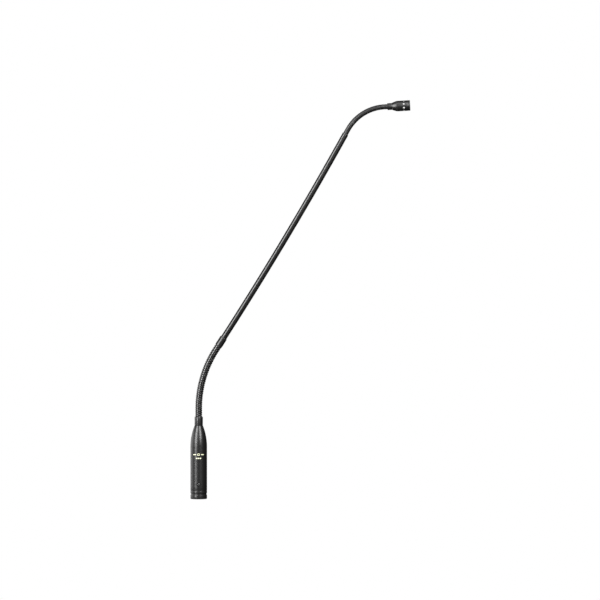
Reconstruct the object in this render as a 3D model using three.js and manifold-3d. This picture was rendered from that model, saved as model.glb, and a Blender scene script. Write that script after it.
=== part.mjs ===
// Gooseneck podium microphone, in millimetres, +Z up.
// The origin is the centre of the base's open end, where the microphone plugs into a panel socket.
// The base stands along +Z, and the necks and the stem lean towards +X in the plane y = 0.
import * as THREE from "three";
import { mergeVertices } from "three/addons/utils/BufferGeometryUtils.js";
import Module from "manifold-3d";

const wasm = await Module();
wasm.setup();

// ---------- driving dimensions ----------

const FIT = 0.15; // clearance between neighbouring pieces

// base shell
const SHELL_R = 9.5;
const SHELL_TOP_Z = 84;
const SHELL_TOP_R = 4.9;
const OGIVE_START_Z = 60;
const MOUTH_R = 8.2;
const MOUTH_DEPTH = 15.5;
const MOUTH_STEP_Z = 14.4; // where the mouth's bore narrows to the chamber's
const MOUTH_STEP_LENGTH = 0.5;
const RIM_ROUND = 0.8;
const GROOVES = [
  { z: 6.0, halfWidth: 0.85, depth: 0.5 },
  { z: 9.6, halfWidth: 0.5, depth: 0.4 },
];
const CHAMBER_R = 7.9;
const CHAMBER_TOP_Z = 62;
const SHELL_NECK_R = 3.3;
const SHELL_NECK_Z = 78;
const SHELL_SEAT_R = 4.4; // the flat that the nut pulls against
const SHELL_SEAT_Z = 77;
const KEYWAY_WIDTH = 3.4;
const KEYWAY_DEPTH = 0.6;
const KEYWAY_LENGTH = 12;

// XLR insert and contacts
const INSERT_THICKNESS = 6;
const INSERT_R = CHAMBER_R - FIT;
const PIN_R = 1.2;
const PIN_CIRCLE_R = 3.95;
const PIN_TIP_Z = 1.5;
const PIN_ANGLES = [30, 150, 270];
const CUP_LENGTH = 4;
const CUP_BORE_R = 0.7;
const CUP_DEPTH = 3;
const SPRING_STRIP = 0.4;
const SPRING_FOOT = { width: 1.6, length: 5.2, x: 6 };
const SPRING_BLADE = { length: 3, height: 3.6, x: 6.8 };
const SPRING_TURN = -20;

// insert retaining screw, on the -Y side
const SCREW_Z = 17.1;
const SCREW_HOLE_R = 2.3;
const SCREW_HEAD_R = 1.85;
const SCREW_HEAD_LENGTH = 1.2;
const SCREW_SHANK_R = 1.0;
const SCREW_SHANK_LENGTH = 2.2;
const SCREW_SLOT_WIDTH = 0.6;
const SCREW_SLOT_DEPTH = 0.5;
const SCREW_SLOT_ANGLE = 40;
const SCREW_SINK = 0.3;

// preamplifier
const BOARD_WIDTH = 10.4;
const BOARD_THICKNESS = 1.2;
const BOARD_LENGTH = 30;
const BOARD_BOTTOM_Z = 26.2;
const SLEEVE_R = 7.6;
const SLEEVE_WALL = 0.5;
const CAPACITOR_R = 2;
const CAPACITOR_LENGTH = 7;
const CAPACITOR_X = [-2.6, 2.6];
const CAPACITOR_RISE = 4; // above the board's lower edge
const TRANSISTOR_SIZE = [4.4, 3.4, 4.6];
const TRANSISTOR_RISE = 4; // above the board's middle

// base ferrule
const FERRULE_R = 4.75;
const FERRULE_TOP_Z = 94.4;
const FERRULE_CHAMFER = 0.5;
const FERRULE_SPIGOT_Z = 71;
const FERRULE_THREAD_R = 2.6;
const FERRULE_THREAD_TOP_Z = 76;
const CABLE_HOLE_R = 1.9;
const CLAMP_R = 3.6;
const CLAMP_Z = [63, 67];
const NECK_NUT_CORNER_R = 4.1;
const NECK_NUT_Z = [72, 75];

// lengths along the centreline, measured from the top of the base ferrule
const LOWER_STRAIGHT_1 = 9.5;
const LOWER_BEND = 71;
const LOWER_STRAIGHT_2 = 5.5;
const COUPLER_LENGTH = 11.2;
const STEM_LENGTH = 272;
const UPPER_STRAIGHT_1 = 5.5;
const UPPER_BEND = 51.5;
const UPPER_STRAIGHT_2 = 3.5;
// leans from +Z towards +X, in degrees
const LOWER_LEAN = 32.75;
const STEM_TOP_LEAN = 29;
const HEAD_LEAN = 86.75;

// necks, each a row of short links with ribs
const LOWER_NECK_R = 3.75;
const LOWER_VALLEY_R = 2.9;
const LOWER_BORE_R = 1.7;
const LOWER_JOINTS = 14;
const UPPER_NECK_R = 2.9;
const UPPER_VALLEY_R = 2.2;
const UPPER_BORE_R = 1.35;
const UPPER_JOINTS = 10;
const LINK_GAP = 0.9;
const RIBS_PER_LINK = 3;
const RIBS_PER_END = 5;

// cable and stem
const CABLE_R = 1.1;
const COUPLER_R = 4.25;
const COUPLER_LOWER_CHAMFER = 0.3;
const COUPLER_UPPER_CHAMFER = 0.6;
const TUBE_R = 3.5;
const TUBE_BORE_R = 3.05;
const TUBE_SUNK = 3; // how far the tube goes into the coupler
const SOCKET_DEPTH = 7; // the depth of the sockets that the necks end in
const NECK_SUNK = 6; // how far a neck end goes into such a socket
const BUSH_R = 2.5;
const BUSH_LENGTH = 6.7;

// head, along its own axis from its rear end
const TIP_R = 3.9;
const TIP_LENGTH = 5.6;
const TIP_SOCKET_DEPTH = 4.4;
const TIP_SUNK = 4; // how far the upper neck goes into the tip ferrule
const SPIGOT_R = 2.5;
const SPIGOT_LENGTH = 4.6;
const LEAD_HOLE_R = 1.5;
const HEAD_R = 6;
const HEAD_LENGTH = 20.4;
const SHOULDER_R = 4.2;
const SHOULDER_LENGTH = 7;
const HEAD_BORE_R = 5.4;
const HEAD_BORE_BACK = 8;
const HEAD_WALL_BACK = 2.4;
const HEAD_WALL_R = 4;
const HEAD_NUT_CORNER_R = 3.8;
const HEAD_NUT_Z = [2.6, 4.4];
const RIM_LENGTH = 1.4;
const RIM_SPIGOT_LENGTH = 0.9;
const RIM_OPENING_R = 4.6;
const RIM_CHAMFER = 0.4;
const GRILLE_THICKNESS = 0.4;
const GRILLE_SUNK = 1.1; // from the head's front to the grille's back
const GRILLE_HOLE_R = 0.8;
const GRILLE_RING_R = 2.6;
const FELT_THICKNESS = 0.95;
const PORT_R = 1.1;
const PORT_BEHIND_FRONT = 7.1;
const PORT_COUNT = 8;
const CAPSULE_R = 4.8;
const CAPSULE_LENGTH = 2.5;
const CAPSULE_BOARD_THICKNESS = 0.4;
const GASKET_GAP = 0.1;
const LEAD_R = 0.3;
const LEAD_X = 0.7;
const LEAD_START_Z = -1.2;

// roundness
const BODY_SIDES = 32;
const HEAD_SIDES = 24;
const TUBE_SIDES = 16;
const NECK_SIDES = 12;
const SMALL_SIDES = 8;
const PORT_SIDES = 10;
const CABLE_SIDES = 6;
const CABLE_STEPS = 12;

// ---------- materials ----------

function material(color, roughness, metalness) {
  return new THREE.MeshStandardMaterial({ color, roughness, metalness });
}

const blackCoat = () => material(0x1b1b1c, 0.5, 0.6);
const blackCoil = () => material(0x161617, 0.45, 0.7);
const blackMoulding = () => material(0x151515, 0.6, 0);
const blackMesh = () => material(0x101011, 0.5, 0.6);
const silverPlate = () => material(0xc9c9c6, 0.3, 1);
const blackScrew = () => material(0x2a2a2b, 0.4, 0.8);
const boardGreen = () => material(0x1d4a2c, 0.5, 0);
const clearSleeve = () => material(0xb9a98a, 0.5, 0);
const capacitorCan = () => material(0x24324a, 0.5, 0.1);
const cableJacket = () => material(0x2a2a2c, 0.7, 0);
const blackRubber = () => material(0x1e1e1e, 0.9, 0);
const feltGrey = () => material(0x2c2c2e, 1, 0);
const leadRed = () => material(0xa02020, 0.6, 0);
const leadWhite = () => material(0xd8d4c8, 0.6, 0);

// ---------- geometry helpers ----------

// A solid turned about Z from [radius, z] points that go up the outside, closed back to the first point.
function turned(points, sides) {
  const loop = [...points, points[0]].map(([r, z]) => new THREE.Vector2(r, z));
  return new THREE.LatheGeometry(loop, sides).rotateX(Math.PI / 2);
}

function rod(radius, z0, z1, sides) {
  return turned([[0, z0], [radius, z0], [radius, z1], [0, z1]], sides);
}

function tube(outer, inner, z0, z1, sides) {
  return turned([[outer, z0], [outer, z1], [inner, z1], [inner, z0]], sides);
}

function box(size, centre) {
  return new THREE.BoxGeometry(...size).translate(...centre);
}

function arcPoints(centre, radius, fromDeg, toDeg, steps) {
  return Array.from({ length: steps + 1 }, (_, i) => {
    const a = THREE.MathUtils.degToRad(fromDeg + ((toDeg - fromDeg) * i) / steps);
    return [centre[0] + radius * Math.cos(a), centre[1] + radius * Math.sin(a)];
  });
}

function toManifold(geometry) {
  const bare = geometry.clone();
  bare.deleteAttribute("normal");
  bare.deleteAttribute("uv");
  const merged = mergeVertices(bare, 1e-4);
  return new wasm.Manifold(
    new wasm.Mesh({
      numProp: 3,
      vertProperties: new Float32Array(merged.attributes.position.array),
      triVerts: new Uint32Array(merged.index.array),
    }),
  );
}

function fromManifold(solid) {
  const mesh = solid.getMesh();
  const geometry = new THREE.BufferGeometry();
  geometry.setAttribute("position", new THREE.BufferAttribute(mesh.vertProperties, 3));
  geometry.setIndex(new THREE.BufferAttribute(mesh.triVerts, 1));
  geometry.computeVertexNormals();
  return geometry;
}

function cut(geometry, tools) {
  const solid = tools.reduce((left, tool) => left.subtract(toManifold(tool)), toManifold(geometry));
  return fromManifold(solid);
}

function join(geometry, others) {
  const solid = others.reduce((whole, other) => whole.add(toManifold(other)), toManifold(geometry));
  return fromManifold(solid);
}

// A rod that starts at a distance from the Z axis and points away from it, at an angle from +X.
function radialRod(radius, from, to, z, angleDeg, sides) {
  return rod(radius, from, to, sides)
    .rotateY(Math.PI / 2)
    .rotateZ(THREE.MathUtils.degToRad(angleDeg))
    .translate(0, 0, z);
}

function node(name, geometry, finish) {
  const mesh = new THREE.Mesh(geometry, finish);
  mesh.name = name;
  return mesh;
}

// ---------- the centreline ----------

const SECTIONS = [
  { length: LOWER_STRAIGHT_1, lean: 0 },
  { length: LOWER_BEND, lean: LOWER_LEAN },
  { length: LOWER_STRAIGHT_2 + COUPLER_LENGTH, lean: LOWER_LEAN },
  { length: STEM_LENGTH, lean: STEM_TOP_LEAN },
  { length: UPPER_STRAIGHT_1, lean: STEM_TOP_LEAN },
  { length: UPPER_BEND, lean: HEAD_LEAN },
  { length: UPPER_STRAIGHT_2 + TIP_LENGTH + HEAD_LENGTH, lean: HEAD_LEAN },
];

const LOWER_NECK_LENGTH = LOWER_STRAIGHT_1 + LOWER_BEND + LOWER_STRAIGHT_2;
const COUPLER_END = LOWER_NECK_LENGTH + COUPLER_LENGTH;
const STEM_END = COUPLER_END + STEM_LENGTH;
const UPPER_NECK_LENGTH = UPPER_STRAIGHT_1 + UPPER_BEND + UPPER_STRAIGHT_2;
const NECK_END = STEM_END + UPPER_NECK_LENGTH;

// The point and the lean, in degrees from +Z towards +X, at a distance s above the base ferrule.
function along(s) {
  let x = 0;
  let z = FERRULE_TOP_Z;
  let lean = 0;
  let start = 0;
  for (const [i, section] of SECTIONS.entries()) {
    const last = i === SECTIONS.length - 1;
    const step = last ? s - start : Math.min(s - start, section.length);
    if (i === 0 && step < 0) return { point: new THREE.Vector3(0, 0, z + s), lean: 0 };
    const a = THREE.MathUtils.degToRad(lean);
    const turn = THREE.MathUtils.degToRad(((section.lean - lean) * step) / section.length);
    const chord = Math.abs(turn) < 1e-9 ? step : (2 * Math.sin(turn / 2) * step) / turn;
    x += chord * Math.sin(a + turn / 2);
    z += chord * Math.cos(a + turn / 2);
    lean += THREE.MathUtils.radToDeg(turn);
    start += section.length;
    if (s <= start) break;
  }
  return { point: new THREE.Vector3(x, 0, z), lean };
}

class Stretch extends THREE.Curve {
  constructor(from, to) {
    super();
    this.from = from;
    this.to = to;
  }
  getPoint(t) {
    return along(this.from + (this.to - this.from) * t).point;
  }
}

function circle(radius, sides) {
  const points = Array.from({ length: sides }, (_, i) => {
    const a = (2 * Math.PI * i) / sides;
    return new THREE.Vector2(radius * Math.cos(a), radius * Math.sin(a));
  });
  return new THREE.Path(points);
}

// A tube, or a rod if its bore is 0, that follows the centreline.
function swept(outer, bore, from, to, sides, steps) {
  const shape = new THREE.Shape(circle(outer, sides).getPoints());
  if (bore > 0) shape.holes.push(circle(bore, sides));
  const extrudePath = new Stretch(from, to);
  return new THREE.ExtrudeGeometry(shape, { extrudePath, steps, curveSegments: 1, bevelEnabled: false });
}

// A group whose own Z axis runs along the centreline at a distance s.
function stationAt(s) {
  const { point, lean } = along(s);
  const station = new THREE.Group();
  station.position.copy(point);
  station.rotation.y = THREE.MathUtils.degToRad(lean);
  return station;
}

// ---------- base ----------

function grooveProfile({ z, halfWidth, depth }) {
  return [
    [SHELL_R, z - halfWidth],
    [SHELL_R - depth, z],
    [SHELL_R, z + halfWidth],
  ];
}

// The ogive is an arc that leaves the cylinder without a corner and meets the top radius.
function ogiveProfile(steps) {
  const rise = SHELL_TOP_Z - OGIVE_START_Z;
  const inset = SHELL_R - SHELL_TOP_R;
  const radius = (rise * rise + inset * inset) / (2 * inset);
  const sweep = THREE.MathUtils.radToDeg(Math.asin(rise / radius));
  return arcPoints([SHELL_R - radius, OGIVE_START_Z], radius, 0, sweep, steps);
}

function baseShell() {
  const outside = [
    [MOUTH_R, 0],
    ...arcPoints([SHELL_R - RIM_ROUND, RIM_ROUND], RIM_ROUND, -90, 0, 3),
    ...GROOVES.flatMap(grooveProfile),
    ...ogiveProfile(6),
  ];
  const inside = [
    [SHELL_NECK_R, SHELL_TOP_Z],
    [SHELL_NECK_R, SHELL_NECK_Z],
    [SHELL_SEAT_R, SHELL_SEAT_Z],
    [CHAMBER_R, CHAMBER_TOP_Z],
    [CHAMBER_R, MOUTH_STEP_Z],
    [MOUTH_R, MOUTH_STEP_Z - MOUTH_STEP_LENGTH],
  ];
  const past = 1; // how far the cutting tools reach beyond the wall
  const keyway = box(
    [KEYWAY_WIDTH, KEYWAY_DEPTH + past, KEYWAY_LENGTH + past],
    [0, MOUTH_R + (KEYWAY_DEPTH - past) / 2, (KEYWAY_LENGTH - past) / 2],
  );
  const screwHole = radialRod(SCREW_HOLE_R, CHAMBER_R - past, SHELL_R + past, SCREW_Z, -90, SMALL_SIDES * 2);
  return cut(turned([...outside, ...inside], BODY_SIDES), [keyway, screwHole]);
}

function pinPlace(angleDeg) {
  const a = THREE.MathUtils.degToRad(angleDeg);
  return [PIN_CIRCLE_R * Math.cos(a), PIN_CIRCLE_R * Math.sin(a)];
}

const INSERT_TOP_Z = MOUTH_DEPTH + INSERT_THICKNESS;

function xlrInsert() {
  const disc = rod(INSERT_R, MOUTH_DEPTH, INSERT_TOP_Z, BODY_SIDES);
  const screwTip = SHELL_R - SCREW_SINK - SCREW_HEAD_LENGTH - SCREW_SHANK_LENGTH - FIT;
  const pinHoles = PIN_ANGLES.map((angle) => {
    const [x, y] = pinPlace(angle);
    return rod(PIN_R + FIT, 0, INSERT_TOP_Z + 1, SMALL_SIDES).translate(x, y, 0);
  });
  const screwHole = radialRod(SCREW_SHANK_R + FIT, screwTip, SHELL_R, SCREW_Z, -90, SMALL_SIDES);
  return cut(disc, [...pinHoles, screwHole]);
}

// A contact pin with a round nose below and a solder cup above.
function xlrPin() {
  const nose = arcPoints([0, PIN_TIP_Z + PIN_R], PIN_R, -90, 0, 3);
  const cupTop = INSERT_TOP_Z + CUP_LENGTH;
  const cup = [
    [PIN_R, cupTop],
    [CUP_BORE_R, cupTop],
    [CUP_BORE_R, cupTop - CUP_DEPTH],
    [0, cupTop - CUP_DEPTH - FIT],
  ];
  return turned([...nose, ...cup], SMALL_SIDES);
}

// A bent strip that lies on the insert and touches the wall, beside the solder cup of pin 1.
function groundSpring() {
  const { width, length, x } = SPRING_FOOT;
  const bottom = INSERT_TOP_Z + FIT;
  const foot = box([width, length, SPRING_STRIP], [x, 0, bottom + SPRING_STRIP / 2]);
  const blade = box(
    [SPRING_STRIP, SPRING_BLADE.length, SPRING_BLADE.height],
    [SPRING_BLADE.x, 0, bottom + SPRING_BLADE.height / 2],
  );
  return join(foot, [blade]).rotateZ(THREE.MathUtils.degToRad(SPRING_TURN));
}

// Turned along +Z with its slotted face at z = 0, looking along -Z.
function insertScrew() {
  const body = turned(
    [
      [0, -SCREW_HEAD_LENGTH - SCREW_SHANK_LENGTH],
      [SCREW_SHANK_R, -SCREW_HEAD_LENGTH - SCREW_SHANK_LENGTH],
      [SCREW_SHANK_R, -SCREW_HEAD_LENGTH],
      [SCREW_HEAD_R, -SCREW_HEAD_LENGTH],
      [SCREW_HEAD_R, 0],
      [0, 0],
    ],
    SMALL_SIDES * 2,
  );
  const slot = box([SCREW_HEAD_R * 3, SCREW_SLOT_WIDTH, SCREW_SLOT_DEPTH * 2], [0, 0, 0]);
  slot.rotateZ(THREE.MathUtils.degToRad(-SCREW_SLOT_ANGLE));
  return cut(body, [slot]).rotateX(Math.PI / 2).translate(0, -(SHELL_R - SCREW_SINK), SCREW_Z);
}

function hexNut(cornerR, boreR, z0, z1) {
  return cut(rod(cornerR, z0, z1, 6), [rod(boreR, z0 - 1, z1 + 1, NECK_SIDES)]);
}

function baseFerrule() {
  const spigotR = SHELL_NECK_R - FIT;
  return turned(
    [
      [CABLE_HOLE_R, FERRULE_SPIGOT_Z],
      [FERRULE_THREAD_R, FERRULE_SPIGOT_Z],
      [FERRULE_THREAD_R, FERRULE_THREAD_TOP_Z],
      [spigotR, FERRULE_THREAD_TOP_Z],
      [spigotR, SHELL_TOP_Z + FIT],
      [FERRULE_R, SHELL_TOP_Z + FIT],
      [FERRULE_R, FERRULE_TOP_Z - FERRULE_CHAMFER],
      [FERRULE_R - FERRULE_CHAMFER, FERRULE_TOP_Z],
      [LOWER_NECK_R + FIT, FERRULE_TOP_Z],
      [LOWER_NECK_R + FIT, FERRULE_TOP_Z - SOCKET_DEPTH],
      [CABLE_HOLE_R, FERRULE_TOP_Z - SOCKET_DEPTH],
    ],
    BODY_SIDES,
  );
}

function buildBase() {
  const base = new THREE.Group();
  const boardMiddleZ = BOARD_BOTTOM_Z + BOARD_LENGTH / 2;
  const boardTopZ = BOARD_BOTTOM_Z + BOARD_LENGTH;
  base.add(node("base_shell", baseShell(), blackCoat()));
  base.add(node("xlr_insert", xlrInsert(), blackMoulding()));
  PIN_ANGLES.forEach((angle, i) => {
    const [x, y] = pinPlace(angle);
    base.add(node(`xlr_pin_${i + 1}`, xlrPin().translate(x, y, 0), silverPlate()));
  });
  base.add(node("ground_spring", groundSpring(), silverPlate()));
  base.add(node("insert_screw", insertScrew(), blackScrew()));
  const boardSize = [BOARD_WIDTH, BOARD_THICKNESS, BOARD_LENGTH];
  base.add(node("preamp_board", box(boardSize, [0, 0, boardMiddleZ]), boardGreen()));
  CAPACITOR_X.forEach((x, i) => {
    const can = rod(CAPACITOR_R, 0, CAPACITOR_LENGTH, SMALL_SIDES);
    can.translate(x, -(BOARD_THICKNESS / 2 + CAPACITOR_R + FIT), BOARD_BOTTOM_Z + CAPACITOR_RISE);
    base.add(node(`coupling_capacitor_${i + 1}`, can, capacitorCan()));
  });
  const transistorY = (BOARD_THICKNESS + TRANSISTOR_SIZE[1]) / 2 + FIT;
  const transistor = box(TRANSISTOR_SIZE, [0, transistorY, boardMiddleZ + TRANSISTOR_RISE]);
  base.add(node("board_transistor", transistor, blackMoulding()));
  const sleeveEnds = [BOARD_BOTTOM_Z - SLEEVE_WALL, boardTopZ + SLEEVE_WALL];
  const sleeve = tube(SLEEVE_R, SLEEVE_R - SLEEVE_WALL, ...sleeveEnds, NECK_SIDES);
  base.add(node("board_sleeve", sleeve, clearSleeve()));
  const cable = rod(CABLE_R, boardTopZ + 1, FERRULE_TOP_Z - SOCKET_DEPTH - 1, SMALL_SIDES);
  base.add(node("base_cable", cable, cableJacket()));
  const clamp = tube(CLAMP_R, CABLE_R + FIT, ...CLAMP_Z, NECK_SIDES);
  base.add(node("cable_clamp", clamp, blackMoulding()));
  const nut = hexNut(NECK_NUT_CORNER_R, FERRULE_THREAD_R + 2 * FIT, ...NECK_NUT_Z);
  base.add(node("neck_nut", nut, silverPlate()));
  base.add(node("base_ferrule", baseFerrule(), blackCoat()));
  return base;
}

// ---------- necks ----------

// A ribbed tube about Z, from z0 to z1.
function ribbed(neck, z0, z1, ribs) {
  const rib = (z1 - z0) / ribs;
  const outside = [[neck.valleyR, z0]];
  for (let i = 0; i < ribs; i += 1) {
    outside.push([neck.r, z0 + rib * (i + 0.5)]);
    outside.push([neck.valleyR, z0 + rib * (i + 1)]);
  }
  return turned([...outside, [neck.boreR, z1], [neck.boreR, z0]], NECK_SIDES);
}

const LOWER_NECK = {
  name: "lower_neck",
  start: 0,
  length: LOWER_NECK_LENGTH,
  joints: LOWER_JOINTS,
  r: LOWER_NECK_R,
  valleyR: LOWER_VALLEY_R,
  boreR: LOWER_BORE_R,
  ends: ["base_end", "stem_end"],
  sunk: [NECK_SUNK, NECK_SUNK],
};
const UPPER_NECK = {
  name: "upper_neck",
  start: STEM_END,
  length: UPPER_NECK_LENGTH,
  joints: UPPER_JOINTS,
  r: UPPER_NECK_R,
  valleyR: UPPER_VALLEY_R,
  boreR: UPPER_BORE_R,
  ends: ["stem_end", "head_end"],
  sunk: [NECK_SUNK, TIP_SUNK],
};

// Links between the joints, and an end piece at each end that goes into its fitting.
function buildNeck(neck) {
  const group = new THREE.Group();
  const pitch = neck.length / neck.joints;
  const reach = (pitch - LINK_GAP) / 2;
  for (let i = 1; i < neck.joints; i += 1) {
    const link = stationAt(neck.start + i * pitch);
    const name = `${neck.name}_link_${String(i).padStart(2, "0")}`;
    link.add(node(name, ribbed(neck, -reach, reach, RIBS_PER_LINK), blackCoil()));
    group.add(link);
  }
  const [sunkBelow, sunkAbove] = neck.sunk;
  const first = stationAt(neck.start);
  first.add(node(`${neck.name}_${neck.ends[0]}`, ribbed(neck, -sunkBelow, reach, RIBS_PER_END), blackCoil()));
  const end = neck.start + neck.length;
  const last = stationAt(end);
  last.add(node(`${neck.name}_${neck.ends[1]}`, ribbed(neck, -reach, sunkAbove, RIBS_PER_END), blackCoil()));
  group.add(first, last);
  const cable = swept(CABLE_R, 0, neck.start - sunkBelow, end + sunkAbove, CABLE_SIDES, CABLE_STEPS);
  group.add(node(`${neck.name}_cable`, cable, cableJacket()));
  return group;
}

// ---------- stem ----------

function lowerCoupler() {
  const tubeSeat = COUPLER_LENGTH - TUBE_SUNK - 0.5;
  const neckSeat = NECK_SUNK + 0.5;
  return turned(
    [
      [LOWER_NECK_R + FIT, 0],
      [COUPLER_R - COUPLER_LOWER_CHAMFER, 0],
      [COUPLER_R, COUPLER_LOWER_CHAMFER],
      [COUPLER_R, COUPLER_LENGTH - COUPLER_UPPER_CHAMFER],
      [COUPLER_R - COUPLER_UPPER_CHAMFER, COUPLER_LENGTH],
      [TUBE_R + FIT, COUPLER_LENGTH],
      [TUBE_R + FIT, tubeSeat],
      [CABLE_HOLE_R, tubeSeat],
      [CABLE_HOLE_R, neckSeat],
      [LOWER_NECK_R + FIT, neckSeat],
    ],
    BODY_SIDES,
  );
}

function buildStem() {
  const stem = new THREE.Group();
  const coupler = stationAt(LOWER_NECK_LENGTH);
  coupler.add(node("lower_coupler", lowerCoupler(), blackCoat()));
  stem.add(coupler);
  const tubeStart = COUPLER_END - TUBE_SUNK;
  stem.add(node("stem_tube", swept(TUBE_R, TUBE_BORE_R, tubeStart, STEM_END, TUBE_SIDES, 8), blackCoat()));
  const bush = stationAt(STEM_END);
  const bushTop = -SOCKET_DEPTH - 2 * FIT;
  const bushShape = tube(BUSH_R, CABLE_R + FIT, bushTop - BUSH_LENGTH, bushTop, NECK_SIDES);
  bush.add(node("upper_neck_bush", bushShape, silverPlate()));
  stem.add(bush);
  const cableStart = LOWER_NECK_LENGTH + NECK_SUNK + 0.4;
  const cable = swept(CABLE_R, 0, cableStart, STEM_END - SOCKET_DEPTH, CABLE_SIDES, CABLE_STEPS);
  stem.add(node("stem_cable", cable, cableJacket()));
  return stem;
}

// ---------- head ----------

function headHousing() {
  const frontZ = HEAD_LENGTH - RIM_LENGTH - FIT;
  const shoulder = arcPoints([0, 0], 1, -90, 0, 5).map(([u, v]) => [
    SHOULDER_R + (HEAD_R - SHOULDER_R) * u,
    SHOULDER_LENGTH * (1 + v),
  ]);
  const outside = [[SPIGOT_R + FIT, 0], ...shoulder, [HEAD_R, frontZ]];
  const inside = [
    [HEAD_BORE_R, frontZ],
    [HEAD_BORE_R, HEAD_BORE_BACK],
    [HEAD_WALL_R, HEAD_WALL_BACK],
    [SPIGOT_R + FIT, HEAD_WALL_BACK],
  ];
  const past = 1; // how far the drill reaches beyond the wall
  const ports = Array.from({ length: PORT_COUNT }, (_, i) => {
    const angle = ((i + 0.5) * 360) / PORT_COUNT;
    const z = HEAD_LENGTH - PORT_BEHIND_FRONT;
    return radialRod(PORT_R, HEAD_BORE_R - past, HEAD_R + past, z, angle, PORT_SIDES);
  });
  return cut(turned([...outside, ...inside], HEAD_SIDES), ports);
}

function tipFerrule() {
  const floor = -TIP_LENGTH + TIP_SOCKET_DEPTH;
  return turned(
    [
      [UPPER_NECK_R + FIT, -TIP_LENGTH],
      [TIP_R - FIT, -TIP_LENGTH],
      [TIP_R, -TIP_LENGTH + FIT],
      [TIP_R, -FIT],
      [SPIGOT_R, -FIT],
      [SPIGOT_R, SPIGOT_LENGTH],
      [LEAD_HOLE_R, SPIGOT_LENGTH],
      [LEAD_HOLE_R, floor],
      [UPPER_NECK_R + FIT, floor],
    ],
    HEAD_SIDES,
  );
}

function frontRim() {
  const back = HEAD_LENGTH - RIM_LENGTH;
  return turned(
    [
      [RIM_OPENING_R, back - RIM_SPIGOT_LENGTH],
      [HEAD_BORE_R - FIT, back - RIM_SPIGOT_LENGTH],
      [HEAD_BORE_R - FIT, back],
      [HEAD_R, back],
      [HEAD_R, HEAD_LENGTH - RIM_CHAMFER],
      [HEAD_R - RIM_CHAMFER, HEAD_LENGTH],
      [RIM_OPENING_R, HEAD_LENGTH],
    ],
    HEAD_SIDES,
  );
}

function frontGrille() {
  const z = HEAD_LENGTH - GRILLE_SUNK;
  const past = 1; // how far the punch reaches beyond the plate
  const holes = [[0, 0]];
  for (let i = 0; i < 6; i += 1) {
    const a = (Math.PI * i) / 3;
    holes.push([GRILLE_RING_R * Math.cos(a), GRILLE_RING_R * Math.sin(a)]);
  }
  const punch = rod(GRILLE_HOLE_R, z - past, z + GRILLE_THICKNESS + past, SMALL_SIDES);
  const tools = holes.map(([x, y]) => punch.clone().translate(x, y, 0));
  return cut(rod(RIM_OPENING_R - FIT, z, z + GRILLE_THICKNESS, HEAD_SIDES), tools);
}

function buildHead() {
  const head = stationAt(NECK_END + TIP_LENGTH);
  const rimBack = HEAD_LENGTH - RIM_LENGTH - RIM_SPIGOT_LENGTH;
  const capsuleFront = rimBack - FIT;
  const capsuleBack = capsuleFront - CAPSULE_LENGTH;
  const capsule = rod(CAPSULE_R, capsuleBack, capsuleFront, HEAD_SIDES);
  const gasketRadii = [HEAD_BORE_R - GASKET_GAP, CAPSULE_R + GASKET_GAP];
  const gasket = tube(...gasketRadii, capsuleBack + GASKET_GAP, capsuleFront - GASKET_GAP, HEAD_SIDES);
  const boardFront = capsuleBack - FIT;
  const boardBack = boardFront - CAPSULE_BOARD_THICKNESS;
  const board = rod(CAPSULE_R - CAPSULE_BOARD_THICKNESS, boardBack, boardFront, NECK_SIDES);
  const feltFront = HEAD_LENGTH - GRILLE_SUNK - FIT;
  const felt = rod(RIM_OPENING_R - FIT, feltFront - FELT_THICKNESS, feltFront, NECK_SIDES);
  head.add(node("head_housing", headHousing(), blackCoat()));
  head.add(node("tip_ferrule", tipFerrule(), blackCoat()));
  head.add(node("housing_nut", hexNut(HEAD_NUT_CORNER_R, SPIGOT_R + 2 * FIT, ...HEAD_NUT_Z), silverPlate()));
  head.add(node("front_rim", frontRim(), blackCoat()));
  head.add(node("front_grille", frontGrille(), blackMesh()));
  head.add(node("windscreen_felt", felt, feltGrey()));
  head.add(node("electret_capsule", capsule, silverPlate()));
  head.add(node("capsule_gasket", gasket, blackRubber()));
  head.add(node("capsule_board", board, boardGreen()));
  [[-LEAD_X, leadRed()], [LEAD_X, leadWhite()]].forEach(([x, finish], i) => {
    const lead = rod(LEAD_R, LEAD_START_Z, boardBack - 2 * FIT, CABLE_SIDES).translate(x, 0, 0);
    head.add(node(`capsule_lead_${i + 1}`, lead, finish));
  });
  return head;
}

const microphone = new THREE.Group();
microphone.add(buildBase());
microphone.add(buildNeck(LOWER_NECK));
microphone.add(buildStem());
microphone.add(buildNeck(UPPER_NECK));
microphone.add(buildHead());

export default microphone;
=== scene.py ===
"""Looks of a gooseneck podium microphone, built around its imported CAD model.

Pieces on the neck are made straight, with z as the distance along the centreline in millimetres, and then
bent onto it. Pieces of the base are made where they stand. Everything ends up in metres in the CAD's frame.
"""

import math
import random

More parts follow.
